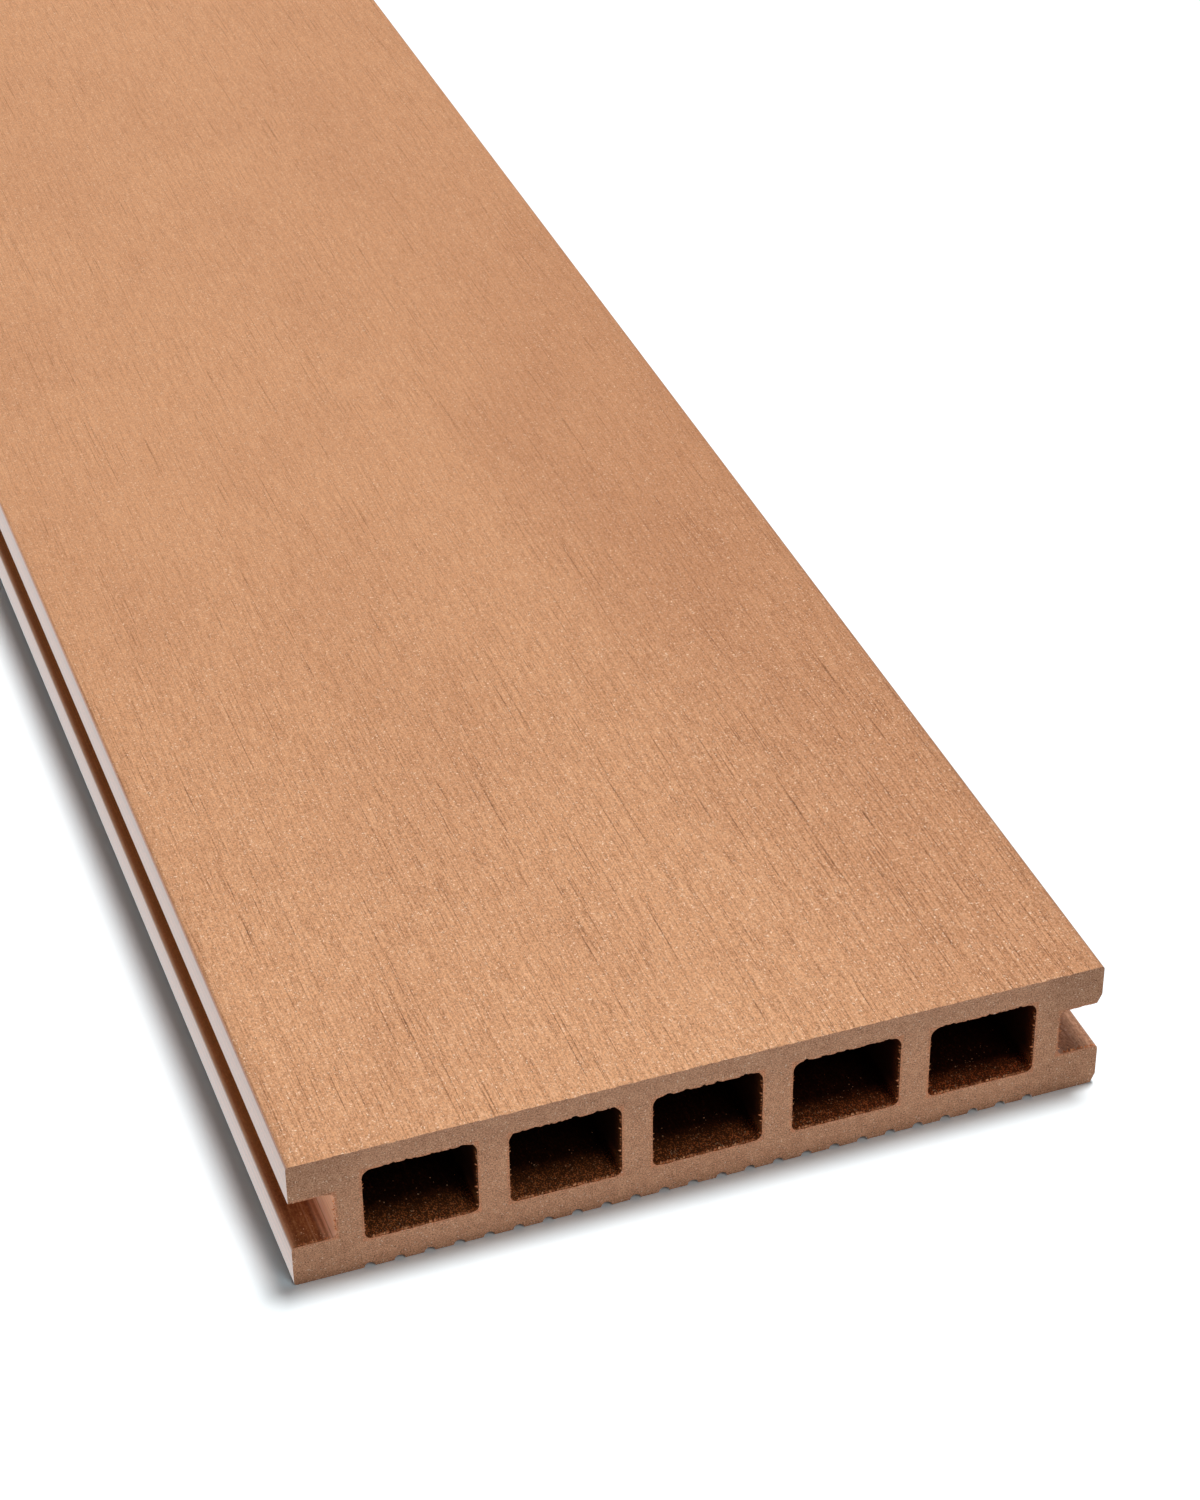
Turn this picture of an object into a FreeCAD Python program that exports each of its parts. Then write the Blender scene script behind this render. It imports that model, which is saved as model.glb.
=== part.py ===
import FreeCAD, Part
import math
import os
import Sketcher

# Hollow decking board of extruded wood-plastic, sawn square at both ends, in millimetres.
# X runs across the width, Y along the length and Z up from the underside.
doc = FreeCAD.newDocument("decking_board")
sizes = doc.addObject("Spreadsheet::Sheet", "Sizes")
driving_sizes = [
    # the sawn length and the outside of the section
    ("board_length", 2400),
    ("board_width", 140),
    ("board_thickness", 25),
    ("outer_edge_radius", 0.6),
    # walls left around and between the chambers
    ("top_wall", 4.5),
    ("floor_wall", 6),
    ("side_wall", 4.5),
    ("chamber_web", 5.25),
    ("chamber_count", 5),
    ("chamber_top_radius", 1.7),
    ("chamber_floor_radius", 1.2),
    # clip groove along each side, between an upper and a lower lip
    ("groove_depth", 7.5),
    ("upper_lip", 7.7),
    ("lower_lip", 8),
    ("groove_corner_radius", 1.2),
    ("lip_edge_radius", 0.7),
    # bevel under the outer edge of both lips on the +X side
    ("bevel_across", 0.8),
    ("bevel_height", 1.8),
    # round flutes along the underside, inside a plain land along each side
    ("plain_land", 12),
    ("flute_pitch", 5),
    ("flute_width", 1.9),
    ("flute_depth", 0.9),
]
for row, (alias, number) in enumerate(driving_sizes, start=1):
    sizes.set(f"A{row}", alias)
    sizes.set(f"B{row}", str(number))
    sizes.setAlias(f"B{row}", alias)
doc.recompute()

body = doc.addObject("PartDesign::Body", "decking_board")
body.Label = "decking_board"
origin = {feature.Role: feature for feature in body.Origin.OriginFeatures}


def section_sketch(name):
    """Start a sketch on the plane across the middle of the board: sketch x is X, sketch y is Z."""
    sketch = body.newObject("Sketcher::SketchObject", name)
    sketch.AttachmentSupport = [(origin["XZ_Plane"], "")]
    sketch.MapMode = "FlatFace"
    return sketch


def value(formula):
    """Work out a formula over the sheet."""
    return float(body.evalExpression(formula))


def bind(sketch, kind, first, formula):
    """Add one dimension that follows a formula; a distance is measured from the sketch origin."""
    amount = value(formula)
    if kind == "Radius":
        constraint = Sketcher.Constraint(kind, first, amount)
    elif abs(amount) < 1e-9:
        axis = -1 if kind == "DistanceY" else -2
        sketch.addConstraint(Sketcher.Constraint("PointOnObject", *first, axis))
        return
    else:
        constraint = Sketcher.Constraint(kind, -1, 1, *first, amount)
    index = sketch.addConstraint(constraint)
    sketch.setExpression(f"Constraints[{index}]", formula)


def square_outline(sketch, corners):
    """Draw a closed outline of level and upright sides, counter-clockwise.

    Each corner is a formula for x, one for z, and the alias of its radius or None.
    """
    count = len(corners)
    points = [FreeCAD.Vector(value(x), value(z), 0) for x, z, _ in corners]
    starts = []
    ends = []
    arcs = []
    for index, (_, _, alias) in enumerate(corners):
        corner = points[index]
        back = FreeCAD.Vector(points[index - 1] - corner).normalize()
        ahead = FreeCAD.Vector(points[(index + 1) % count] - corner).normalize()
        radius = value(f"Sizes.{alias}") if alias else 0
        ends.append(corner + back * radius)
        starts.append(corner + ahead * radius)
        arcs.append((corner + (back + ahead) * radius, radius))
    for index in range(count):
        sketch.addGeometry(Part.LineSegment(starts[index], ends[(index + 1) % count]), False)
    for index in range(count):
        x, z, alias = corners[index]
        next_x, next_z, _ = corners[(index + 1) % count]
        if z == next_z:
            sketch.addConstraint(Sketcher.Constraint("Horizontal", index))
            bind(sketch, "DistanceY", (index, 1), z)
        else:
            sketch.addConstraint(Sketcher.Constraint("Vertical", index))
            bind(sketch, "DistanceX", (index, 1), x)
        before = (index - 1) % count
        if not alias:
            sketch.addConstraint(Sketcher.Constraint("Coincident", before, 2, index, 1))
            continue
        centre, radius = arcs[index]
        first = ends[index] - centre
        start_angle = math.atan2(first.y, first.x)
        circle = Part.Circle(centre, FreeCAD.Vector(0, 0, 1), radius)
        arc = sketch.addGeometry(Part.ArcOfCircle(circle, start_angle, start_angle + math.pi / 2), False)
        sketch.addConstraint(Sketcher.Constraint("Tangent", before, 2, arc, 1))
        sketch.addConstraint(Sketcher.Constraint("Tangent", arc, 2, index, 1))
        bind(sketch, "Radius", arc, f"Sizes.{alias}")


def through_pocket(sketch, name):
    """Cut a sketch through the whole length of the board."""
    doc.recompute()
    pocket = body.newObject("PartDesign::Pocket", name)
    pocket.Profile = sketch
    pocket.SideType = "Symmetric"
    pocket.Type = "ThroughAll"
    doc.recompute()
    return pocket


def row_of(feature, name, axis, count, length):
    """Repeat a feature along an axis, by formulas for the count and for the span."""
    pattern = body.newObject("PartDesign::LinearPattern", name)
    pattern.Originals = [feature]
    pattern.Direction = (origin[axis], [""])
    pattern.Mode = "Extent"
    pattern.setExpression("Occurrences", count)
    pattern.setExpression("Length", length)
    body.Tip = pattern
    doc.recompute()
    return pattern


def round_edges(name, lines, radius):
    """Round the lengthwise edges that lie at the given (x, z) formulas."""
    base = body.Tip
    wanted = [(value(x), value(z)) for x, z in lines]
    found = []
    for number, edge in enumerate(base.Shape.Edges, start=1):
        middle = edge.CenterOfMass
        for x, z in wanted:
            if abs(middle.x - x) < 1e-4 and abs(middle.z - z) < 1e-4:
                found.append(f"Edge{number}")
    if len(found) != len(lines):
        raise RuntimeError(f"{name}: {len(found)} of {len(lines)} edges found")
    fillet = body.newObject("PartDesign::Fillet", name)
    fillet.Base = (base, found)
    fillet.setExpression("Radius", f"Sizes.{radius}")
    doc.recompute()
    return fillet


# Blank: the plain rectangle of the section, as long as the board.
left = "-Sizes.board_width / 2"
right = "Sizes.board_width / 2"
underside = "0"
walking_face = "Sizes.board_thickness"
blank_sketch = section_sketch("BlankSection")
square_outline(blank_sketch, [
    (left, underside, None),
    (right, underside, None),
    (right, walking_face, None),
    (left, walking_face, None),
])
doc.recompute()
blank = body.newObject("PartDesign::Pad", "Blank")
blank.Profile = blank_sketch
blank.SideType = "Symmetric"
blank.setExpression("Length", "Sizes.board_length")
doc.recompute()

# Clip groove along the -X side, mirrored to the +X side.
groove_back = "-Sizes.board_width / 2 + Sizes.groove_depth"
groove_floor = "Sizes.lower_lip"
groove_roof = "Sizes.board_thickness - Sizes.upper_lip"
groove_sketch = section_sketch("GrooveSection")
square_outline(groove_sketch, [
    (left, groove_floor, None),
    (groove_back, groove_floor, "groove_corner_radius"),
    (groove_back, groove_roof, "groove_corner_radius"),
    (left, groove_roof, None),
])
groove = through_pocket(groove_sketch, "ClipGroove")
both_grooves = body.newObject("PartDesign::Mirrored", "BothGrooves")
both_grooves.Originals = [groove]
both_grooves.MirrorPlane = (origin["YZ_Plane"], [""])
body.Tip = both_grooves
doc.recompute()

# Bevel under the outer edge of the lower lip on the +X side, repeated under the upper lip.
bevel_sketch = section_sketch("BevelSection")
bevel_inner = "Sizes.board_width / 2 - Sizes.bevel_across"
bevel_top = "Sizes.bevel_height"
bevel_corners = [(bevel_inner, underside), (right, underside), (right, bevel_top)]
bevel_points = [FreeCAD.Vector(value(x), value(z), 0) for x, z in bevel_corners]
for index in range(3):
    bevel_sketch.addGeometry(Part.LineSegment(bevel_points[index], bevel_points[(index + 1) % 3]), False)
for index, (x, z) in enumerate(bevel_corners):
    bevel_sketch.addConstraint(Sketcher.Constraint("Coincident", (index - 1) % 3, 2, index, 1))
    bind(bevel_sketch, "DistanceX", (index, 1), x)
    bind(bevel_sketch, "DistanceY", (index, 1), z)
bevel = through_pocket(bevel_sketch, "LipBevel")
row_of(bevel, "BothBevels", "Z_Axis", "2", groove_roof)

# Small rounding of the outer edges and of the groove's lower mouth edges.
round_edges("OuterEdges", [(left, underside), (left, walking_face), (right, walking_face)], "outer_edge_radius")
round_edges("LipEdges", [(left, groove_floor), (right, groove_floor)], "lip_edge_radius")

# Chambers: equal hollows that share out the width left by the side walls and the webs.
margin = "(Sizes.groove_depth + Sizes.side_wall)"
webs = "(Sizes.chamber_count - 1) * Sizes.chamber_web"
chamber_width = f"((Sizes.board_width - 2 * {margin} - {webs}) / Sizes.chamber_count)"
chamber_left = f"-Sizes.board_width / 2 + {margin}"
chamber_right = f"-Sizes.board_width / 2 + {margin} + {chamber_width}"
chamber_floor = "Sizes.floor_wall"
chamber_roof = "Sizes.board_thickness - Sizes.top_wall"
chamber_sketch = section_sketch("ChamberSection")
square_outline(chamber_sketch, [
    (chamber_left, chamber_floor, "chamber_floor_radius"),
    (chamber_right, chamber_floor, "chamber_floor_radius"),
    (chamber_right, chamber_roof, "chamber_top_radius"),
    (chamber_left, chamber_roof, "chamber_top_radius"),
])
chamber = through_pocket(chamber_sketch, "Chamber")
chamber_span = f"(Sizes.chamber_count - 1) * ({chamber_width} + Sizes.chamber_web)"
row_of(chamber, "Chambers", "X_Axis", "Sizes.chamber_count", chamber_span)

# Flutes: as many round grooves as fit between the plain lands, centred on the underside.
flute_count = "(floor((Sizes.board_width - 2 * Sizes.plain_land) / Sizes.flute_pitch) + 1)"
flute_span = f"({flute_count} - 1) * Sizes.flute_pitch"
flute_radius = "(Sizes.flute_width ^ 2 / 4 + Sizes.flute_depth ^ 2) / (2 * Sizes.flute_depth)"
flute_start = f"-({flute_span}) / 2"
flute_centre = f"Sizes.flute_depth - {flute_radius}"
flute_sketch = section_sketch("FluteSection")
flute_middle = FreeCAD.Vector(value(flute_start), value(flute_centre), 0)
flute_circle = Part.Circle(flute_middle, FreeCAD.Vector(0, 0, 1), value(flute_radius))
flute_ring = flute_sketch.addGeometry(flute_circle, False)
bind(flute_sketch, "DistanceX", (flute_ring, 3), flute_start)
bind(flute_sketch, "DistanceY", (flute_ring, 3), flute_centre)
bind(flute_sketch, "Radius", flute_ring, flute_radius)
flute = through_pocket(flute_sketch, "Flute")
row_of(flute, "Flutes", "X_Axis", flute_count, flute_span)

for item in doc.Objects:
    if "Invalid" in item.State or "Error" in item.State:
        raise RuntimeError(f"{item.Name} did not build: {item.State}")
if body.Shape.isNull() or not body.Shape.isValid() or len(body.Shape.Solids) != 1:
    raise RuntimeError("the board is not one valid solid")
for sketch in (blank_sketch, groove_sketch, bevel_sketch, chamber_sketch, flute_sketch):
    if not sketch.FullyConstrained:
        raise RuntimeError(f"{sketch.Name} is not fully constrained")

os.makedirs("parts", exist_ok=True)
body.Shape.exportStep("parts/decking_board.step")
box = body.Shape.BoundBox
print("decking_board", round(body.Shape.Volume, 1), "mm3", box)
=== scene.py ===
import math

import bpy
from mathutils import Euler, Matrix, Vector


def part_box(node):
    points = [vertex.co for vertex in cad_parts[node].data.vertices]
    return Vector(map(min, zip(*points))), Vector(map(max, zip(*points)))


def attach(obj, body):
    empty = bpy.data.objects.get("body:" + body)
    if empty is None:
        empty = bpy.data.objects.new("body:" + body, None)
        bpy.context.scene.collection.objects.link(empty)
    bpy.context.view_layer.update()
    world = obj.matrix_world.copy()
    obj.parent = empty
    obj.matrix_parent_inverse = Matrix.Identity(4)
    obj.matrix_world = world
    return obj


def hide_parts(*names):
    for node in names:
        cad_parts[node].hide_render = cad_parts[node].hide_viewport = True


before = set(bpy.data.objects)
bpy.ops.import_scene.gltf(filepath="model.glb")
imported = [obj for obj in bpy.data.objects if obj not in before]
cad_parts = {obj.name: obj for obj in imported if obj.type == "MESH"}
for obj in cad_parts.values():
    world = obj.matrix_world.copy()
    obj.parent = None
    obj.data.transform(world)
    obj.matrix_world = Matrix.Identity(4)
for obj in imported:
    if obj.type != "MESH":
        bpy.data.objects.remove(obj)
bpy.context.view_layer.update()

# The board: one hollow bar of wood flour and plastic, pressed through a die that forms the chambers, the
# clip groove along each side and the round flutes underneath in one pass, and sawn square at both ends.
# Its sizes are in millimetres, counted from the middle of the width and from the underside.
MM = 0.001
low, high = (Vector(corner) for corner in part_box("decking_board"))
width, length, thickness = (high - low) / MM
left = -width / 2
right = width / 2
half_length = high.y / MM
outer_radius = 0.6
wall_top, wall_floor, wall_side, web = 4.5, 6.0, 4.5, 5.25
chamber_count = 5
roof_round, floor_round = 1.7, 1.2
groove_depth, lip_upper, lip_lower = 7.5, 7.7, 8.0
groove_radius, lip_radius = 1.2, 0.7
bevel_across, bevel_height = 0.8, 1.8
land, flute_pitch, flute_width, flute_depth = 12.0, 5.0, 1.9, 0.9
groove_roof = thickness - lip_upper
groove_back = right - groove_depth
chamber_roof = thickness - wall_top
chamber_margin = groove_depth + wall_side
chamber_width = (width - 2 * chamber_margin - (chamber_count - 1) * web) / chamber_count
chamber_pitch = chamber_width + web
first_left = left + chamber_margin
first_right = first_left + chamber_width
arc_steps, flute_steps = 5, 5
brush_spacing, edge_spacing = 0.35, 0.3


def loop_points(corners):
    """Points of a closed loop from corners (x, z, radius, spacing of the run that follows or None)."""
    places = [Vector((x, z)) for x, z, _, _ in corners]
    arcs = []
    for index, place in enumerate(places):
        radius = corners[index][2]
        back = (places[index - 1] - place).normalized()
        ahead = (places[(index + 1) % len(places)] - place).normalized()
        if not radius:
            arcs.append([place])
            continue
        half_turn = back.angle(ahead) / 2
        centre = place + (back + ahead).normalized() * radius / math.sin(half_turn)
        start = place + back * radius / math.tan(half_turn) - centre
        end = place + ahead * radius / math.tan(half_turn) - centre
        sweep = start.angle(end)
        shares = [step / arc_steps for step in range(arc_steps + 1)]
        weights = [(math.sin((1 - share) * sweep), math.sin(share * sweep)) for share in shares]
        arcs.append([centre + (start * near + end * far) / math.sin(sweep) for near, far in weights])
    points = []
    for index, arc in enumerate(arcs):
        points += arc
        spacing = corners[index][3]
        if spacing:
            run = arcs[(index + 1) % len(arcs)][0] - arc[-1]
            steps = round(run.length / spacing)
            points += [arc[-1] + run * step / steps for step in range(1, steps)]
    return points


def helper_object(name, points, edges=()):
    """An object that lends its points and edges to a geometry tree."""
    mesh = bpy.data.meshes.new(name)
    mesh.from_pydata(points, edges, [])
    helper = bpy.data.objects.new(name, mesh)
    bpy.context.scene.collection.objects.link(helper)
    return helper


def loop_object(name, points):
    """A helper object that holds a closed loop of edges on the XZ plane."""
    count = len(points)
    edges = [(index, (index + 1) % count) for index in range(count)]
    return helper_object(name, [(x * MM, 0, z * MM) for x, z in points], edges)


flute_radius = (flute_width ** 2 / 4 + flute_depth ** 2) / (2 * flute_depth)
flute_reach = math.asin(flute_width / 2 / flute_radius)
flute_count = math.floor((width - 2 * land) / flute_pitch) + 1
underside = []
for flute in range(flute_count):
    middle = (flute - (flute_count - 1) / 2) * flute_pitch
    for step in range(flute_steps + 1):
        turn = flute_reach * (2 * step / flute_steps - 1)
        rise = flute_depth - flute_radius + flute_radius * math.cos(turn)
        underside.append((middle + flute_radius * math.sin(turn), rise, 0, None))
outer_loop = loop_object("outer_loop", loop_points([
    (left, 0, outer_radius, None),
    *underside,
    (right - bevel_across, 0, 0, None),
    (right, bevel_height, 0, None),
    (right, lip_lower, lip_radius, edge_spacing),
    (groove_back, lip_lower, groove_radius, edge_spacing),
    (groove_back, groove_roof, groove_radius, edge_spacing),
    (right - bevel_across, groove_roof, 0, None),
    (right, groove_roof + bevel_height, 0, None),
    (right, thickness, outer_radius, brush_spacing),
    (left, thickness, outer_radius, None),
    (left, groove_roof, 0, edge_spacing),
    (-groove_back, groove_roof, groove_radius, edge_spacing),
    (-groove_back, lip_lower, groove_radius, edge_spacing),
    (left, lip_lower, lip_radius, None),
]))
chamber_loop = loop_object("chamber_loop", loop_points([
    (first_left, wall_floor, floor_round, edge_spacing),
    (first_right, wall_floor, floor_round, edge_spacing),
    (first_right, chamber_roof, roof_round, edge_spacing),
    (first_left, chamber_roof, roof_round, edge_spacing),
]))

# The board's rings, where its section is repeated along the length: close together at the saw cuts, where
# chips break off, and then further and further apart from the near end to the far one.
chip_depth, first_step, step_growth = 0.8, 5.0, 1.0228
rings = [0, chip_depth, 3 * chip_depth]
step = first_step
while rings[-1] + 2 * step < length:
    rings.append(rings[-1] + step)
    step *= step_growth
rings += [length - 3 * chip_depth, length - chip_depth, length]
chamber_rings = [*rings[:3], 3 * rings[2], length - 3 * rings[2], *rings[-3:]]
outer_rings = helper_object("outer_rings", [(0, low.y + ring * MM, 0) for ring in rings])
inner_rings = helper_object("inner_rings", [(0, low.y + ring * MM, 0) for ring in chamber_rings])

# The walking face: planed and brushed after extrusion, so that wood flour shows as a warm tan with fine
# lengthwise scratches, pale flecks and soft clouds. Near the cuts the brush bites deeper, so the scratches
# are stronger; the face is also paler there, with a thin dark rim along each side and a darker, more
# scratched right half.


class Wire:
    """One output of a node tree: sums on it add Math nodes, and node() adds any other kind of node."""

    # How far one step of a seed shifts a noise along X, Y and Z.
    seed_steps = (17.3, 9.1, 23.7)

    def __init__(self, tree, socket=None):
        self.tree = tree
        self.socket = socket

    def node(self, kind, settings=None, sockets=None, output=0):
        """A new node with its settings and its sockets' values or links, and a wire from one output."""
        made = self.tree.nodes.new(kind)
        for name, setting in (settings or {}).items():
            if name != "stops":
                setattr(made, name, setting)
                continue
            ramp = made.color_ramp.elements
            while len(ramp) < len(setting):
                ramp.new(1)
            for element, (place, colour) in zip(ramp, setting):
                element.position = place
                element.color = (*colour, 1)
        for name, content in (sockets or {}).items():
            if isinstance(content, Wire):
                self.tree.links.new(content.socket, made.inputs[name])
            else:
                made.inputs[name].default_value = content
        return Wire(self.tree, made.outputs[output])

    def also(self, output):
        """Another output of the same node."""
        return Wire(self.tree, self.socket.node.outputs[output])

    def math(self, operation, first, second=0.0):
        """A Math node in the same tree."""
        return self.node("ShaderNodeMath", {"operation": operation}, {0: first, 1: second})

    def __add__(self, other):
        return self.math("ADD", self, other)

    def __radd__(self, other):
        return self.math("ADD", other, self)

    def __sub__(self, other):
        return self.math("SUBTRACT", self, other)

    def __rsub__(self, other):
        return self.math("SUBTRACT", other, self)

    def __mul__(self, other):
        return self.math("MULTIPLY", self, other)

    def __rmul__(self, other):
        return self.math("MULTIPLY", other, self)

    def __truediv__(self, other):
        return self.math("DIVIDE", self, other)

    def __gt__(self, other):
        return self.math("GREATER_THAN", self, other)

    def __lt__(self, other):
        return self.math("LESS_THAN", self, other)

    def __abs__(self):
        return self.math("ABSOLUTE", self)

    def split(self):
        """The X, Y and Z of this vector."""
        made = self.node("ShaderNodeSeparateXYZ", sockets={0: self})
        return made, made.also("Y"), made.also("Z")

    def vector(self, *parts):
        """A vector from its X, Y and Z, in the same tree."""
        return self.node("ShaderNodeCombineXYZ", sockets=dict(enumerate(parts)))

    def ease(self, start, end):
        """A smooth step from 0 at start to 1 at end."""
        sockets = {"Value": self, "From Min": start, "From Max": end}
        return self.node("ShaderNodeMapRange", {"interpolation_type": "SMOOTHSTEP"}, sockets)

    def noise(self, size, seed, detail=2.0, roughness=0.5):
        """Noise whose features are about size (x, y, z) across, in the units of this vector."""
        shift = self.vector(*[seed * step for step in self.seed_steps])
        finer = Vector(1 / extent for extent in size)
        settings = {"operation": "MULTIPLY_ADD"}
        spread = self.node("ShaderNodeVectorMath", settings, {0: self, 1: finer, 2: shift})
        sockets = {"Vector": spread, "Scale": 1.0, "Detail": detail, "Roughness": roughness}
        return self.node("ShaderNodeTexNoise", sockets=sockets, output="Fac")

    def ramp(self, stops):
        """A colour from this value, by stops (place, colour)."""
        return self.node("ShaderNodeValToRGB", {"stops": stops}, {"Fac": self})

    def blend(self, factor, second, mode="MIX"):
        """This colour mixed with a second one."""
        settings = {"data_type": "RGBA", "blend_type": mode}
        return self.node("ShaderNodeMix", settings, {0: factor, 6: self, 7: (*second, 1)}, 2)

    def bump(self, depth, strength):
        """A normal from this height, where a height of 1 stands for depth millimetres."""
        sockets = {"Height": self, "Strength": strength, "Distance": depth * MM}
        return self.node("ShaderNodeBump", sockets=sockets)


def material_tree(name):
    """A new material, its shader node and its Object coordinates in millimetres."""
    material = bpy.data.materials.new(name)
    material.use_nodes = True
    shader = material.node_tree.nodes["Principled BSDF"]
    coords = Wire(material.node_tree).node("ShaderNodeTexCoord", output="Object")
    place = coords.node("ShaderNodeVectorMath", {"operation": "SCALE"}, {0: coords, "Scale": 1 / MM})
    return material, shader, place


def feed(shader, **inputs):
    """Link wires to the shader's inputs and set plain numbers on them; underscores stand for spaces."""
    for name, content in inputs.items():
        socket = shader.inputs[name.replace("_", " ")]
        if isinstance(content, Wire):
            content.tree.links.new(content.socket, socket)
        else:
            socket.default_value = content


tan_stops = [
    (0.0, (0.21, 0.090, 0.040)),
    (0.3, (0.485, 0.232, 0.112)),
    (0.5, (0.675, 0.348, 0.181)),
    (0.72, (0.81, 0.453, 0.253)),
    (1.0, (0.945, 0.610, 0.380)),
]
grain_tint = (1.03, 0.97, 0.88)
dusk_tint = (0.82, 0.76, 0.73)
mid_board_tint = (0.896, 0.866, 0.843)
fleck_cream = (1.0, 0.80, 0.60)
rim_brown = (0.24, 0.105, 0.048)
# Distances behind the cut between which each change along the board runs.
right_reach, bite_reach, dusk_reach = (40.0, 120.0), (40.0, 215.0), (120.0, 420.0)
pale_reach, far_reach, rim_reach = (-65.0, 130.0), (300.0, 600.0), (60.0, 280.0)
brushed_face, shader, place = material_tree("brushed_face")
across, along, _ = place.split()
from_cut = half_length - abs(along)
from_side = right - abs(across)
near_right = across.ease(0.0, right * 0.7) * (1 - from_cut.ease(*right_reach))
bite = 1 - from_cut.ease(*bite_reach) * 0.42 + near_right * 0.06
grit = place.noise((0.28, 0.42, 0.5), seed=1.0, roughness=0.65)
grain = place.noise((0.75, 2.0, 1.0), seed=2.0, roughness=0.6)
fibre = place.noise((0.25, 8.0, 0.5), seed=3.0, roughness=0.6)
strand = place.noise((0.27, 30.0, 1.2), seed=4.0, roughness=0.55)
score = place.noise((0.20, 22.0, 0.5), seed=5.0, detail=1.0, roughness=0.4)
scratch = (score + near_right * 0.03).ease(0.62, 0.74)
scratch_zone = place.noise((9.0, 40.0, 9.0), seed=6.0).ease(0.36, 0.62)
clouds = place.noise((32.0, 60.0, 30.0), seed=7.0, detail=3.0, roughness=0.55)
fleck = place.noise((0.30, 0.42, 0.5), seed=8.0, detail=1.0).ease(0.65, 0.75)
tint = place.noise((0.6, 1.1, 0.6), seed=9.0, roughness=0.6).ease(0.36, 0.64)
raked = bite * ((grit - 0.5) * 1.3 + (fibre - 0.5) * 0.8)
broad = bite * ((grain - 0.5) * 0.2 + (strand - 0.5) * (0.30 + near_right * 0.18))
tone = 0.52 + raked + broad - bite * scratch * (0.5 + 0.5 * scratch_zone) * 0.33
rightward = across.ease(right * 0.1, right * 0.85) * (0.68 - from_cut.ease(*dusk_reach) * 0.53)
dusk = clouds.ease(0.42, 0.68) * 0.3 + rightward
faded = from_cut.ease(*pale_reach) - from_cut.ease(*far_reach) * 0.14
rim = 1.3 - from_side.ease(0.3, 0.8) - from_side.ease(0.3, 4.0) * 0.3
rim_strength = 0.45 - from_cut.ease(*rim_reach) * 0.33
colour = tone.ramp(tan_stops)
colour = colour.blend(tint * 0.7, grain_tint, "MULTIPLY")
colour = colour.blend(dusk, dusk_tint, "MULTIPLY")
colour = colour.blend(faded, mid_board_tint, "MULTIPLY")
colour = colour.blend(fleck * bite * 0.8, fleck_cream)
colour = colour.blend(rim * rim_strength, rim_brown)
relief = (raked + fleck * 0.2).bump(depth=0.06, strength=0.35)
feed(shader, Base_Color=colour, Roughness=0.80 - tone * 0.2, Normal=relief, Specular_IOR_Level=0.3)

# The sawn ends: a circular saw leaves the raw composite open, a greyer brown packed with pale and dark
# crumbs of wood flour. It is painted greyer and darker towards the walking face as painted shade, darker on
# the lips, most on the upper right one, and smeared redder round the openings.
crumb_stops = [
    (0.0, (0.20, 0.085, 0.045)),
    (0.35, (0.53, 0.251, 0.140)),
    (0.55, (0.695, 0.340, 0.195)),
    (1.0, (0.95, 0.590, 0.375)),
]
# Painted shade: the tint that makes the end face greyer and darker towards the walking face.
top_shade_tint = (0.80, 0.84, 0.88)
lip_tint = (0.78, 0.785, 0.78)
smear_tint = (1.08, 0.84, 0.72)
chip_cream = (0.92, 0.72, 0.54)
sawn_end, shader, place = material_tree("sawn_end")
across, _, height = place.split()
crumb = place.noise((0.27, 0.27, 0.27), seed=11.0, roughness=0.7)
lump = place.noise((1.5, 1.5, 1.5), seed=12.0)
pit = place.noise((0.3, 0.3, 0.3), seed=13.0, detail=1.0).ease(0.64, 0.76)
pale_chip = place.noise((0.34, 0.34, 0.34), seed=14.0, detail=1.0).ease(0.66, 0.76)
tone = 0.5 + (crumb - 0.5) * 2.0 + (lump - 0.5) * 0.4 - pit * 0.25
# Painted shade: the end face greyer and darker towards the walking face.
top_shade = height.ease(thickness - 2.5 * wall_top, thickness) * 0.6
lip = abs(across).ease(right - 1.3 * chamber_margin, right - 0.7 * groove_depth)
lip_shade = lip * (0.5 + 0.2 * (height > thickness / 2) + 0.2 * (across > 0))
last = (chamber_count - 1) / 2
nearest = place.math("ROUND", across / chamber_pitch)
nearest = place.math("MAXIMUM", place.math("MINIMUM", nearest, last), -last)
beside = abs(across - nearest * chamber_pitch) - chamber_width / 2
above = abs(height - (chamber_roof + wall_floor) / 2) - (chamber_roof - wall_floor) / 2
inside = groove_back - abs(across)
level = abs(height - (groove_roof + lip_lower) / 2) - (groove_roof - lip_lower) / 2
chamber_edge = place.math("MAXIMUM", beside, above)
groove_edge = place.math("MAXIMUM", inside, level)
smear = 1 - place.math("MINIMUM", chamber_edge, groove_edge).ease(0.1, 0.6)
colour = tone.ramp(crumb_stops)
colour = colour.blend(top_shade, top_shade_tint, "MULTIPLY")
colour = colour.blend(lip_shade, lip_tint, "MULTIPLY")
colour = colour.blend(smear * lump * 1.3, smear_tint, "MULTIPLY")
colour = colour.blend(pale_chip * 0.8, chip_cream)
relief = (tone + pale_chip * 0.3).bump(depth=0.08, strength=0.5)
feed(shader, Base_Color=colour, Roughness=0.9 - pale_chip * 0.3, Normal=relief, Specular_IOR_Level=0.2)

# The outer skin on the two sides and underneath: plastic-rich, red-brown and polished by the die, so at
# a low angle it shines pale.


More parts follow.
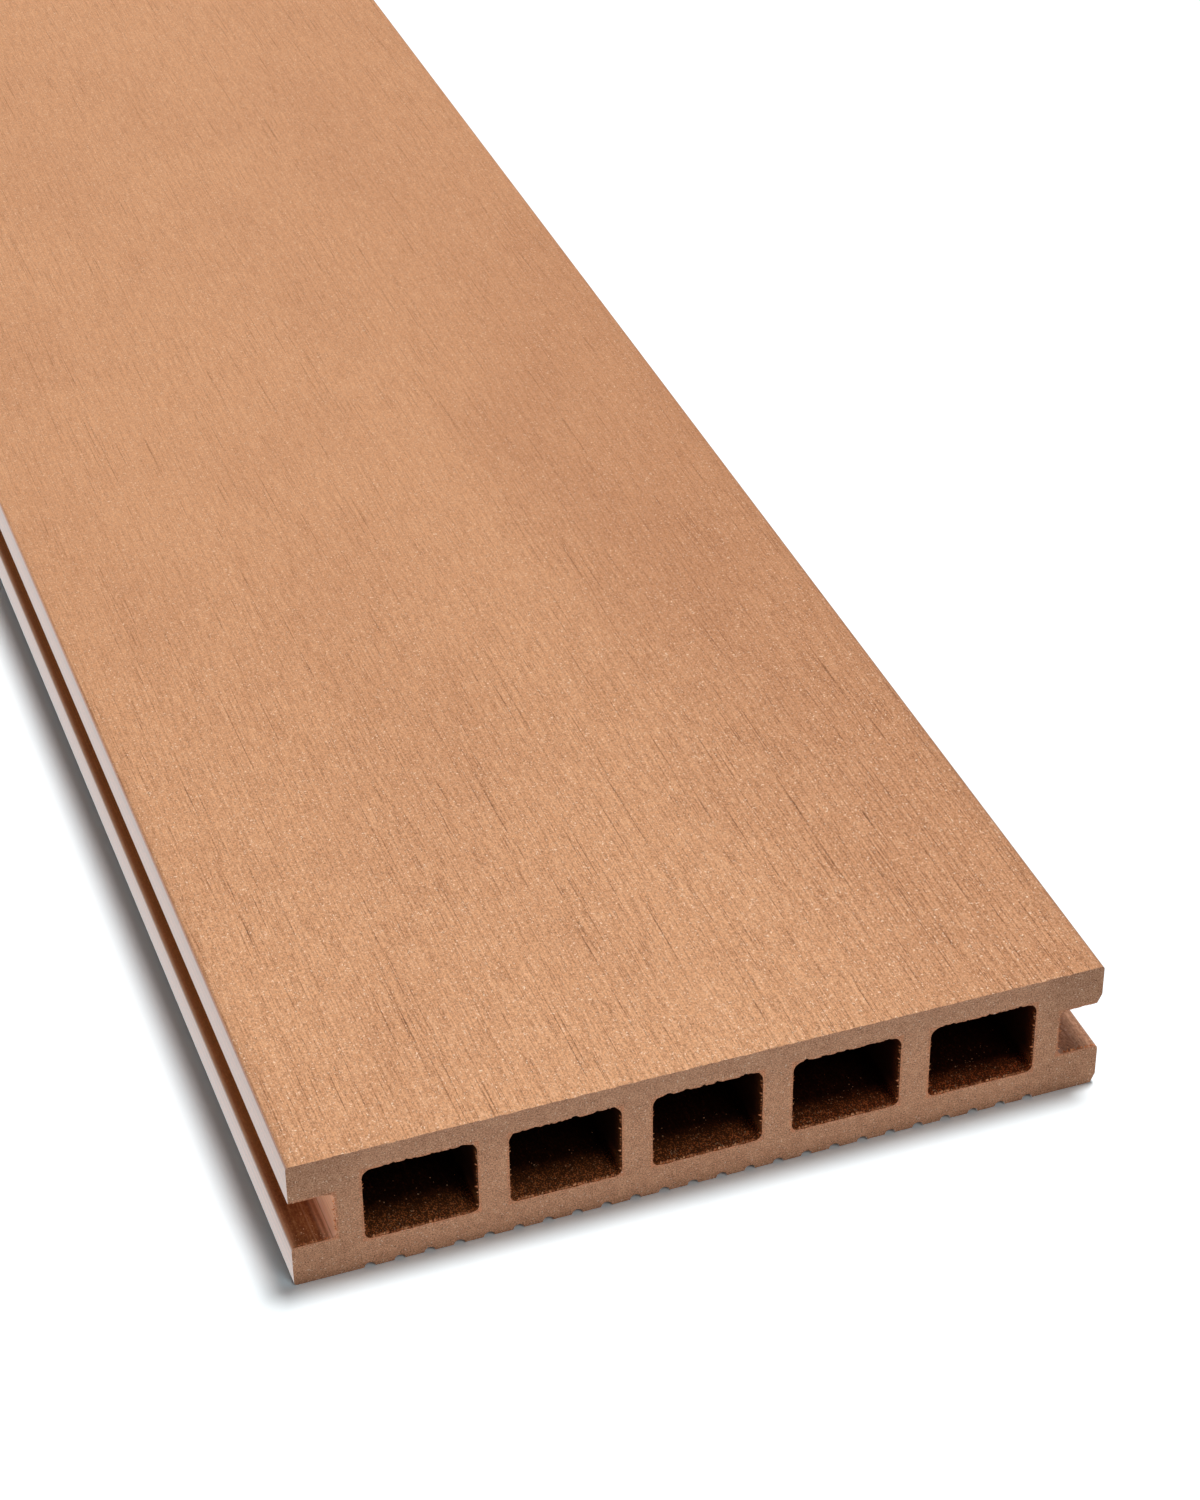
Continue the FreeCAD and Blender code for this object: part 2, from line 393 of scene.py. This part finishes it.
def drawn_skin(name, seed, stops, lines=1.5):
    """A skin with lines drawn along the length by the die, and freckles of wood flour."""
    material, shader, place = material_tree(name)
    die_line = place.noise((0.5, 400.0, 0.5), seed, detail=3.0, roughness=0.6)
    freckle = place.noise((0.35, 0.6, 0.35), seed + 1, roughness=0.7)
    tone = 0.5 + (die_line - 0.5) * lines + (freckle - 0.5) * 1.4
    relief = (die_line + freckle * 0.5).bump(depth=0.03, strength=0.25)
    feed(shader, Roughness=0.30 + freckle * 0.2, Normal=relief)
    return material, shader, place, tone.ramp(stops)


outer_skin, shader, place, colour = drawn_skin("outer_skin", 21.0, [
    (0.0, (0.12, 0.036, 0.014)),
    (0.5, (0.36, 0.130, 0.055)),
    (0.75, (0.48, 0.190, 0.090)),
    (1.0, (0.60, 0.290, 0.160)),
])
polish_ior = 1.65
feed(shader, Base_Color=colour, IOR=polish_ior, Coat_Weight=1.0, Coat_IOR=polish_ior, Coat_Roughness=0.28)

# The skin in the clip grooves: the same plastic-rich surface, duller, because the die's inner edges draw it
# less smooth. The left groove has painted light in a strip towards its outer edge, a tan rounded edge and
# one scored line; the right one is painted paler and greyer as painted light, and darker at its outer edge
# as painted shade. Both have a streaked painted highlight along the inner corners and painted light on the
# back wall.
# Painted light: the right groove paler and greyer than the left one.
right_groove_light_tint = (1.5, 2.1, 3.4)
# Painted shade: the right groove's floor darker towards its open outer edge.
right_edge_shade_brown = (0.30, 0.155, 0.090)
# Painted light: a paler strip on the left groove's floor towards its outer edge.
lit_floor_ochre = (0.60, 0.360, 0.125)
edge_tan = (0.64, 0.300, 0.160)
scored_tan = (0.64, 0.310, 0.160)
# Painted highlight: a lilac sheen along the grooves' inner corners.
painted_sheen_pink = (0.82, 0.450, 0.300)
# Painted light: the grooves' back wall paler.
lit_back_tan = (0.88, 0.450, 0.270)
# Strips counted inwards from the side of the board, and how far behind the cut the painted light sets in.
lit_floor_strip, edge_strip, right_edge_shade_strip, lit_floor_reach = (1.5, 4.5), (0.3, 1.5), (1.0, 5.0), (4.0, 30.0)
scored_place, scored_width = 0.55 * groove_depth, (0.04, 0.2)
painted_sheen_strip = (groove_depth - 2.6, groove_depth - 0.9)
back_strip = (groove_depth - 0.6, groove_depth - 0.05)
groove_skin, shader, place, colour = drawn_skin("groove_skin", 24.0, [
    (0.0, (0.10, 0.030, 0.010)),
    (0.5, (0.29, 0.098, 0.032)),
    (0.75, (0.41, 0.160, 0.062)),
    (1.0, (0.55, 0.265, 0.125)),
])
across, along, _ = place.split()
inward = right - abs(across)
from_cut = half_length - abs(along)
on_left = across < 0
on_right = 1 - on_left
lit_floor = (1 - inward.ease(*lit_floor_strip)) * from_cut.ease(*lit_floor_reach)
edge = 1 - inward.ease(*edge_strip)
right_edge_shade = 1 - inward.ease(*right_edge_shade_strip)
scored = 1 - abs(inward - scored_place).ease(*scored_width)
mottle = place.noise((0.5, 3.0, 0.5), seed=26.0, detail=3.0, roughness=0.6)
streak = place.noise((0.55, 90.0, 0.55), seed=31.0, roughness=0.6).ease(0.38, 0.62)
patchy = 0.5 * mottle + 0.8 * streak
painted_sheen = inward.ease(*painted_sheen_strip) * (0.2 + patchy)
lit_back_wall = inward.ease(*back_strip) * (0.3 + patchy)
# Painted light: the right groove paler and greyer than the left one.
colour = colour.blend(on_right, right_groove_light_tint, "MULTIPLY")
# Painted shade: the right groove's floor darker towards its open outer edge.
colour = colour.blend(on_right * right_edge_shade * 0.45, right_edge_shade_brown)
# Painted light: a paler strip on the left groove's floor towards its outer edge.
colour = colour.blend(lit_floor * on_left * 0.37, lit_floor_ochre)
colour = colour.blend(edge * on_left * 0.65, edge_tan)
colour = colour.blend(scored * on_left * 0.5, scored_tan)
# Painted highlight: a streaked lilac sheen along the grooves' inner corners.
colour = colour.blend(painted_sheen * (0.35 + on_left * 0.6), painted_sheen_pink)
# Painted light: the grooves' back wall paler.
colour = colour.blend(lit_back_wall * 0.85, lit_back_tan)
feed(shader, Base_Color=colour, Specular_IOR_Level=0.25)

# The skin inside the chambers: darker and never touched after the die. Near each cut the floors and the
# foot of the walls are paler: specks of fine saw dust over painted light that fades out within a few
# millimetres of the cut, sooner and redder on the right.
# Painted light and dust: the colour of the pale fade and the specks near each cut.
dust_and_light_rust = (0.88, 0.275, 0.085)
right_dust_tint = (1.0, 0.72, 0.70)
floor_dust_and_light_depth, right_dust_and_light_loss, wall_dust_and_light_depth = 8.5, 2.6, 4.0
chamber_skin, shader, place, colour = drawn_skin("chamber_skin", 27.0, [
    (0.0, (0.006, 0.001, 0.0005)),
    (0.5, (0.012, 0.003, 0.001)),
    (0.75, (0.05, 0.014, 0.005)),
    (1.0, (0.20, 0.080, 0.035)),
], lines=0.4)
across, along, height = place.split()
from_cut = half_length - abs(along)
on_floor = 1 - height.ease(wall_floor + 0.2, wall_floor + 3.5)
rightward = across.ease(left / 2, right)
# Painted light and dust: a smooth pale fade from each cut stands in for light falling in at the mouth, with
# specks of saw dust on it.
mouth_dust_and_light = (1 - from_cut.ease(0.0, floor_dust_and_light_depth - rightward * right_dust_and_light_loss)) * on_floor
wall_dust_and_light = (1 - from_cut.ease(0.0, wall_dust_and_light_depth)) * (1 - on_floor) * 0.5
dust_speck = place.noise((0.21, 0.30, 0.21), seed=30.0, detail=1.0).ease(0.50, 0.68)
dust_and_light = mouth_dust_and_light * (0.18 + 1.15 * dust_speck) + wall_dust_and_light * (0.06 + 0.8 * dust_speck)
colour = colour.blend(dust_and_light, dust_and_light_rust)
colour = colour.blend(rightward, right_dust_tint, "MULTIPLY")
feed(shader, Base_Color=colour, Specular_IOR_Level=0.2)

# The board's body: the section swept from saw cut to saw cut. The brush has raked the walking face into
# shallow lengthwise furrows, and the saw has broken small chips out of the openings' upper edges.
weld_gap, hair, side_gap, edge_gap, roof_edge_gap = 0.002, 0.001, 0.01, 0.05, 0.35
face_gap, groove_gap, groove_band, floor_slack = 0.3, 0.12, 5.0, 0.6
furrow_width, furrow_length, furrow_start, furrow_full = 0.9, 26, 0.7, 2
chip_width, tear_width, tear_reach, arris_wear = 1.1, 0.5, 0.08, 0.2
lip_chip_share, floor_chip_share = 0.6, 0.3
face_slope, cut_slope = 0.8, 0.6
quarter_turn, half_turn = math.pi / 2, math.pi
board_inputs = {
    "Outer Loop": ("NodeSocketObject", outer_loop),
    "Chamber Loop": ("NodeSocketObject", chamber_loop),
    "Outer Rings": ("NodeSocketObject", outer_rings),
    "Chamber Rings": ("NodeSocketObject", inner_rings),
    "Chamber Count": ("NodeSocketInt", chamber_count),
    "Chamber Pitch": ("NodeSocketFloat", chamber_pitch * MM),
    "Furrow Depth": ("NodeSocketFloat", 0.07 * MM),
    "Chip Height": ("NodeSocketFloat", 0.5 * MM),
    "Cut Inset": ("NodeSocketFloat", 0.1 * MM),
    "Seed": ("NodeSocketFloat", 7.0),
}


def shape_tree(name, inputs):
    """A new geometry tree with the named inputs (kind, setting), and a wire to read them from."""
    tree = bpy.data.node_groups.new(name, "GeometryNodeTree")
    tree.interface.new_socket("Geometry", in_out="OUTPUT", socket_type="NodeSocketGeometry")
    for label, (kind, _) in inputs.items():
        tree.interface.new_socket(label, in_out="INPUT", socket_type=kind)
    return Wire(tree).node("NodeGroupInput")


def joined(*parts):
    """Several geometries as one."""
    made = parts[0].node("GeometryNodeJoinGeometry")
    for part in parts:
        part.tree.links.new(part.socket, made.socket.node.inputs[0])
    return made


def moved(part, offset=(0, 0, 0), turn=(0, 0, 0)):
    """A geometry moved and turned as a whole."""
    sockets = {"Geometry": part, "Translation": offset, "Rotation": Euler(turn)}
    return part.node("GeometryNodeTransform", sockets=sockets)


def nudged(part, offset):
    """A geometry whose points each move by their own offset."""
    return part.node("GeometryNodeSetPosition", sockets={"Geometry": part, "Offset": offset})


def flipped(part):
    """A geometry with its faces turned round."""
    return part.node("GeometryNodeFlipFaces", sockets={0: part})


def dressed(part, finish, region=True):
    """A geometry with a finish, all over or on one region."""
    sockets = {"Geometry": part, "Selection": region, "Material": finish}
    return part.node("GeometryNodeSetMaterial", sockets=sockets)


def realized(part):
    """A geometry whose copies are made real."""
    return part.node("GeometryNodeRealizeInstances", sockets={"Geometry": part})


def copied(points, part, **sockets):
    """One copy of a part on each point, made real."""
    sockets = {"Points": points, "Instance": part, **sockets}
    return realized(points.node("GeometryNodeInstanceOnPoints", sockets=sockets))


def in_a_row(part, given):
    """One copy of a chamber's geometry for each chamber."""
    offset = given.vector(given.also("Chamber Pitch"))
    row = {"Count": given.also("Chamber Count"), "Offset": offset}
    return copied(given.node("GeometryNodeMeshLine", sockets=row), part)


def plain_piece(name, whole, inputs):
    """End a geometry tree with whole, run it and keep its result as a plain mesh object."""
    tree = whole.tree
    tree.links.new(realized(whole).socket, tree.nodes.new("NodeGroupOutput").inputs[0])
    piece = bpy.data.objects.new(name, bpy.data.meshes.new(name))
    bpy.context.scene.collection.objects.link(piece)
    modifier = piece.modifiers.new("make", "NODES")
    modifier.node_group = tree
    for item in tree.interface.items_tree:
        if item.in_out == "INPUT":
            modifier[item.identifier] = inputs[item.name][1]
    bpy.context.view_layer.update()
    evaluated = piece.evaluated_get(bpy.context.evaluated_depsgraph_get())
    mesh = bpy.data.meshes.new_from_object(evaluated)
    piece.modifiers.clear()
    piece.data = mesh
    mesh.name = name
    while None in list(mesh.materials):
        mesh.materials.pop(index=list(mesh.materials).index(None))
    return piece


given = shape_tree("swept_board", board_inputs)


def helper_shape(label):
    """The geometry of a helper object that an input names."""
    return given.node("GeometryNodeObjectInfo", sockets={"Object": given.also(label)}, output="Geometry")


def swept(loop, ring_points):
    """A tube with one column for each point of the loop and one row for each ring."""
    columns = given.node("GeometryNodeAttributeDomainSize", sockets={0: loop}, output="Point Count")
    rows = given.node("GeometryNodeAttributeDomainSize", sockets={0: ring_points}, output="Point Count")
    grid = given.node("GeometryNodeMeshGrid", sockets={"Vertices X": columns + 1, "Vertices Y": rows})
    index = given.node("GeometryNodeInputIndex")
    place = given.node("GeometryNodeInputPosition")
    column = given.math("FLOOR", (index + 0.5) / rows)
    sampling = {"data_type": "FLOAT_VECTOR", "domain": "POINT"}
    on_loop = {"Geometry": loop, "Value": place, "Index": given.math("MODULO", column, columns)}
    on_ring = {"Geometry": ring_points, "Value": place, "Index": index - column * rows}
    loop_x, _, loop_z = given.node("GeometryNodeSampleIndex", sampling, on_loop).split()
    _, ring_y, _ = given.node("GeometryNodeSampleIndex", sampling, on_ring).split()
    spot = given.vector(loop_x, ring_y, loop_z)
    return given.node("GeometryNodeSetPosition", sockets={"Geometry": grid, "Position": spot})


chamber_tube = swept(helper_shape("Chamber Loop"), helper_shape("Chamber Rings"))
outer_tube = flipped(swept(helper_shape("Outer Loop"), helper_shape("Outer Rings")))
all_loops = joined(helper_shape("Outer Loop"), in_a_row(helper_shape("Chamber Loop"), given))
laid_loops = moved(all_loops, turn=(-quarter_turn, 0, 0))
flat_loops = given.node("GeometryNodeMeshToCurve", sockets={"Mesh": laid_loops})
filled = given.node("GeometryNodeFillCurve", sockets={"Curve": flat_loops})
near_cut = moved(filled, (0, low.y, 0), (quarter_turn, 0, 0))
far_cut = flipped(moved(filled, (0, high.y, 0), (quarter_turn, 0, 0)))
shell = joined(outer_tube, in_a_row(chamber_tube, given), near_cut, far_cut)
welded = given.node("GeometryNodeMergeByDistance", sockets={"Geometry": shell, "Distance": weld_gap * MM})

place = given.node("GeometryNodeInputPosition")
across, along, height = place.split()
seed = given.also("Seed")
from_side = high.x - abs(across)
on_face = height > high.z - hair * MM
at_cut = abs(along) > high.y - hair * MM
in_chamber = from_side > (chamber_margin - side_gap) * MM
on_lip = from_side < (groove_depth - groove_radius) * MM
by_roof = (abs(height - chamber_roof * MM) < roof_edge_gap * MM) * in_chamber
by_floor = (abs(height - wall_floor * MM) < edge_gap * MM) * in_chamber
by_lip = (abs(height - groove_roof * MM) < edge_gap * MM) * on_lip
furrow = place.noise((furrow_width * MM, furrow_length * MM, 1.0), seed, roughness=0.6).ease(0.3, 0.7)
on_raked = on_face * from_side.ease(furrow_start * MM, furrow_full * MM)
furrow_fall = furrow * given.also("Furrow Depth") * on_raked
chip = place.noise((chip_width * MM, 1.0, 1.0), seed + 1, detail=3.0, roughness=0.7).ease(0.42, 0.72)
tear = place.noise((tear_width * MM, 1.0, tear_width * MM), seed + 2, roughness=0.7) - 0.5
chipped = by_roof + by_lip * lip_chip_share - by_floor * floor_chip_share
lifted = at_cut * given.also("Chip Height") * chip * chipped
edge_fall = at_cut * on_face * chip * arris_wear * MM
inset = given.also("Cut Inset") * at_cut * (1 + tear)
shift = given.vector(
    at_cut * (by_roof + by_floor) * tear * tear_reach * MM,
    0 - given.math("SIGN", along) * inset,
    lifted - furrow_fall - edge_fall,
)
worked = nudged(welded, shift)
_, facing_along, facing_up = given.node("GeometryNodeInputNormal").split()
groove_middle = (lip_lower + groove_roof) / 2
in_groove = (from_side > groove_gap * MM) * (abs(height - groove_middle * MM) < groove_band * MM)
is_face = (facing_up > face_slope) * (height > high.z - face_gap * MM)
is_cut = (abs(facing_along) > cut_slope) * (abs(along) > high.y - chip_depth * MM)
finished = dressed(worked, outer_skin)
regions = (
    (in_groove, groove_skin),
    (in_chamber * (height > (wall_floor - floor_slack) * MM), chamber_skin),
    (is_face, brushed_face),
    (is_cut, sawn_end),
)
for region, finish in regions:
    finished = dressed(finished, finish, region)
board = plain_piece("board", finished, board_inputs)
board.data.shade_smooth()
board.data.set_sharp_from_angle(angle=math.radians(30))
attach(board, "root")
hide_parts("decking_board")
for helper in (outer_loop, chamber_loop, outer_rings, inner_rings):
    bpy.data.objects.remove(helper)

# The torn fringe: the saw pulls short flakes of skin out of the edges that it leaves, and they stay
# hanging on the chambers' floors and sides and round the clip grooves at both ends.
fringe, shader, place = material_tree("torn_fringe")
tone = place.noise((0.5, 0.5, 0.5), seed=41.0, roughness=0.6)
colour = tone.ramp([
    (0.3, (0.28, 0.072, 0.022)),
    (0.5, (0.66, 0.215, 0.080)),
    (0.7, (0.90, 0.450, 0.220)),
])
feed(shader, Base_Color=colour, Roughness=0.85 - tone * 0.3, Specular_IOR_Level=0.3)
flake_inset, flake_spread, flake_curl = 0.24, 0.15, 1.6
lean_back, lean_aside, twist = (math.radians(angle) for angle in (40, 25, 35))
lean_forward = 0.2
side_share, groove_share, stray_share = 0.4, 0.8, 0.3
fringe_inputs = {
    "Chamber Count": ("NodeSocketInt", chamber_count),
    "Chamber Pitch": ("NodeSocketFloat", chamber_pitch * MM),
    "Smallest Flake": ("NodeSocketVector", Vector((0.22, 0.05, 0.15)) * MM),
    "Largest Flake": ("NodeSocketVector", Vector((0.60, 0.10, 0.50)) * MM),
    "Flakes per Metre": ("NodeSocketFloat", 4.0 / MM),
    "Seed": ("NodeSocketInt", 5),
}
given = shape_tree("torn_fringe", fringe_inputs)
cone_sockets = {"Vertices": 5, "Side Segments": 3, "Radius Top": 0.08, "Radius Bottom": 0.5, "Depth": 1.0}
cone = given.node("GeometryNodeMeshCone", sockets=cone_sockets)
_, _, up = given.node("GeometryNodeInputPosition").split()
flake = nudged(cone, given.vector(0.0, up * up * flake_curl))


def chance(given, lowest, highest, seed_step):
    """A random vector for each point, between two corners."""
    sockets = {0: lowest, 1: highest, "Seed": given.also("Seed") + seed_step}
    return given.node("FunctionNodeRandomValue", {"data_type": "FLOAT_VECTOR"}, sockets)


def torn_edge(start, end, turn, seed_step, share=1.0):
    """Flakes along one straight edge of the near cut, standing on it after a turn about the Y axis."""
    run = (Vector(end) - Vector(start)).length * MM
    line_sockets = {
        "Count": given.math("ROUND", given.also("Flakes per Metre") * run * share),
        "Start Location": (start[0] * MM, low.y + flake_inset * MM, start[1] * MM),
        "Offset": (end[0] * MM, low.y + flake_inset * MM, end[1] * MM),
    }
    line = given.node("GeometryNodeMeshLine", {"mode": "END_POINTS"}, line_sockets)
    spread = flake_spread * MM
    most = (spread, stray_share * spread, stray_share * spread)
    stray = chance(given, [-reach for reach in most], most, seed_step)
    leaning_back = (-lean_back, turn - lean_aside, -twist)
    leaning_forward = (lean_forward, turn + lean_aside, twist)
    tilt = chance(given, leaning_back, leaning_forward, seed_step + 1)
    size = chance(given, given.also("Smallest Flake"), given.also("Largest Flake"), seed_step + 2)
    return copied(nudged(line, stray), flake, Rotation=tilt, Scale=size)


side_low, side_high = wall_floor + floor_round, chamber_roof - roof_round
one_chamber = joined(
    torn_edge((first_left + floor_round, wall_floor), (first_right - floor_round, wall_floor), 0, 10),
    torn_edge((first_left, side_low), (first_left, side_high), quarter_turn, 20, side_share),
    torn_edge((first_right, side_low), (first_right, side_high), -quarter_turn, 30, side_share),
)
back_low, back_high = lip_lower + groove_radius, groove_roof - groove_radius
lip_start, lip_end = groove_back + groove_radius, right - lip_radius
groove_edges = joined(
    torn_edge((-lip_end, lip_lower), (-lip_start, lip_lower), 0, 40, groove_share),
    torn_edge((-groove_back, back_low), (-groove_back, back_high), -quarter_turn, 50, groove_share),
    torn_edge((lip_start, lip_lower), (lip_end, lip_lower), 0, 60, groove_share),
    torn_edge((groove_back, back_low), (groove_back, back_high), quarter_turn, 70, groove_share),
)
near_fringe = joined(in_a_row(one_chamber, given), groove_edges)
both_ends = joined(near_fringe, moved(near_fringe, turn=(0, 0, half_turn)))
torn_fringe = plain_piece("torn_fringe", dressed(both_ends, fringe), fringe_inputs)
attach(torn_fringe, "root")

# The saw dust: loose crumbs of the composite that the cut has thrown onto the chambers' floors and into
# the clip grooves, thickest at the mouths.
crumb_finish, shader, place = material_tree("saw_dust")
tone = place.noise((0.4, 0.4, 0.4), seed=51.0, roughness=0.6)
colour = tone.ramp([
    (0.3, (0.40, 0.160, 0.070)),
    (0.5, (0.66, 0.340, 0.180)),
    (0.7, (0.92, 0.660, 0.430)),
])
feed(shader, Base_Color=colour, Roughness=0.95 - tone * 0.2, Specular_IOR_Level=0.2)
dust_start, dust_reach, dust_rows = 0.4, 14.0, 8
lump_size, lump_height = 0.12, 0.15
full_turn = 6.28
dust_inputs = {
    "Chamber Count": ("NodeSocketInt", chamber_count),
    "Chamber Pitch": ("NodeSocketFloat", chamber_pitch * MM),
    "Crumbs per Square Metre": ("NodeSocketFloat", 3.2 / MM ** 2),
    "Smallest Crumb": ("NodeSocketFloat", 0.05 * MM),
    "Largest Crumb": ("NodeSocketFloat", 0.15 * MM),
    "Seed": ("NodeSocketInt", 3),
}
given = shape_tree("saw_dust", dust_inputs)


def dusty_strip(start, end, floor_height):
    """A strip of floor behind the near cut, from one X to another."""
    sockets = {
        "Size X": (end - start) * MM,
        "Size Y": dust_reach * MM,
        "Vertices X": 2,
        "Vertices Y": dust_rows,
    }
    strip = given.node("GeometryNodeMeshGrid", sockets=sockets)
    behind_cut = low.y + (dust_start + dust_reach / 2) * MM
    return moved(strip, ((start + end) / 2 * MM, behind_cut, floor_height * MM))


chamber_strip = dusty_strip(first_left + floor_round / 2, first_right - floor_round / 2, wall_floor)
near_strips = joined(
    in_a_row(chamber_strip, given),
    dusty_strip(left + lip_radius, -groove_back - groove_radius / 2, lip_lower),
    dusty_strip(groove_back + groove_radius / 2, right - lip_radius, lip_lower),
)
strips = joined(near_strips, moved(near_strips, turn=(0, 0, half_turn)))
place = given.node("GeometryNodeInputPosition")
_, along, _ = place.split()
nearness = (abs(along) - (high.y - dust_reach * MM)) / (dust_reach * MM)
density = given.also("Crumbs per Square Metre") * nearness * nearness * nearness
scatter = {"Mesh": strips, "Density": density, "Seed": given.also("Seed")}
points = given.node("GeometryNodeDistributePointsOnFaces", sockets=scatter)
smallest, largest = given.also("Smallest Crumb"), given.also("Largest Crumb")
share = given.node("FunctionNodeRandomValue", {"data_type": "FLOAT"}, {2: 0.0, 3: 1.0, "Seed": 4}, 1)
size = smallest + share * share * share * (largest - smallest)
turn = chance(given, (0, 0, 0), (full_turn, full_turn, full_turn), 5)
ball = given.node("GeometryNodeMeshIcoSphere", sockets={"Radius": 1.0, "Subdivisions": 1})
crumbs = copied(points, ball, Rotation=turn, Scale=size)
lumps = place.noise([lump_size * MM] * 3, seed=6.0, detail=1.0) - 0.5
swell = given.node("ShaderNodeVectorMath", {"operation": "SCALE"}, {
    0: given.node("GeometryNodeInputNormal"),
    "Scale": lumps * lump_height * MM,
})
saw_dust = plain_piece("saw_dust", dressed(nudged(crumbs, swell), crumb_finish), dust_inputs)
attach(saw_dust, "root")

# The stage: a white paper floor and a white surround, both shown white to the camera and in reflections.
# Beside the left lip the paper is a touch bluer, which cancels the warm light that the lip throws on it.
# A high lamp stands a little to the right and behind, a soft one in front, and a low one on the left.
floor_size, floor_gap = 12.0, 0.05
paper_level, shown_level = 0.90, 1.17
paper_red, paper_blue = 0.935, 1.03
green_gain, blue_gain = 0.28, 0.44
warm_start, warm_strip, warm_end = -1, (0.3, 3.2), (-2.0, 1.0)
ambient, reflected = 0.016, 0.8
lamps = {
    "key": {"energy": 2.58, "angle": 13.5, "from": (4.5, 3.4, 25.0)},
    "fill": {"energy": 0.58, "angle": 26.0, "from": (1.9, -5.8, 6.8)},
    "side": {"energy": 1.5, "angle": 20.0, "from": (-10.0, 1.0, 0.3)},
}


def ray_kinds(tree):
    """Wires that are 1 for rays from the camera, and for mirrored rays with no diffuse bounce before."""
    seen = Wire(tree).node("ShaderNodeLightPath", output="Is Camera Ray")
    mirrored = seen.math("MAXIMUM", seen.also("Is Glossy Ray"), seen.also("Is Transmission Ray"))
    return seen, mirrored * (seen.also("Diffuse Depth") < 0.5)


drop = low.z - floor_gap * MM
corners = [(x * floor_size, y * floor_size, drop) for x, y in ((-1, -1), (1, -1), (1, 1), (-1, 1))]
floor_mesh = bpy.data.meshes.new("floor")
floor_mesh.from_pydata(corners, [], [(0, 1, 2, 3)])
floor = bpy.data.objects.new("floor", floor_mesh)
bpy.context.scene.collection.objects.link(floor)
floor_finish = bpy.data.materials.new("white_floor")
floor_finish.use_nodes = True
floor_tree = floor_finish.node_tree
floor_tree.nodes.clear()
seen, mirrored = ray_kinds(floor_tree)
paper_grey = paper_level + seen * (shown_level - paper_level)
across, along, _ = seen.node("ShaderNodeTexCoord", output="Object").split()
beside = (low.x - across) / MM
past_end = abs(along) / MM - half_length
warmed = (beside > warm_start) * (1 - beside.ease(*warm_strip)) * (1 - past_end.ease(*warm_end))
paper_colour = seen.node("ShaderNodeCombineColor", sockets={
    0: paper_grey * paper_red,
    1: paper_grey * (1 + warmed * green_gain),
    2: paper_grey * (paper_blue + warmed * blue_gain),
})
paper = seen.node("ShaderNodeBsdfDiffuse", sockets={"Color": paper_colour})
white = seen.node("ShaderNodeEmission", sockets={"Strength": 1.0})
surface = seen.node("ShaderNodeMixShader", sockets={0: mirrored, 1: paper, 2: white})
floor_tree.links.new(surface.socket, floor_tree.nodes.new("ShaderNodeOutputMaterial").inputs["Surface"])
floor_mesh.materials.append(floor_finish)

world = bpy.data.worlds.new("surround")
bpy.context.scene.world = world
world.use_nodes = True
world_tree = world.node_tree
world_tree.nodes.clear()
seen, mirrored = ray_kinds(world_tree)
strength = ambient + seen * (1 - ambient) + mirrored * (reflected - ambient)
backdrop = seen.node("ShaderNodeBackground", sockets={"Color": (1, 1, 1, 1), "Strength": strength})
world_tree.links.new(backdrop.socket, world_tree.nodes.new("ShaderNodeOutputWorld").inputs["Surface"])

for name, lamp in lamps.items():
    data = bpy.data.lights.new(name, "SUN")
    data.energy = lamp["energy"]
    data.angle = math.radians(lamp["angle"])
    holder = bpy.data.objects.new(name, data)
    bpy.context.scene.collection.objects.link(holder)
    holder.rotation_euler = Vector(lamp["from"]).to_track_quat("Z", "Y").to_euler()

# The camera: a short telephoto lens close to the near end, to the left of the board and above it, looking
# down along it. Its place is counted from the near left corner of the underside.
eye_left, eye_back, eye_up = 90.849, 401.590, 398.875
tilt, roll, heading = 54.1797, 0.4723, -19.9397
camera_data = bpy.data.cameras.new("camera")
camera_data.sensor_width = 36.0
camera_data.lens = 85.825
camera_data.clip_end = 100.0
camera = bpy.data.objects.new("camera", camera_data)
bpy.context.scene.collection.objects.link(camera)
camera.location = Vector((left - eye_left, low.y / MM - eye_back, eye_up)) * MM
camera.rotation_euler = (math.radians(tilt), math.radians(roll), math.radians(heading))
bpy.context.scene.camera = camera
bpy.context.scene.view_settings.view_transform = "Standard"
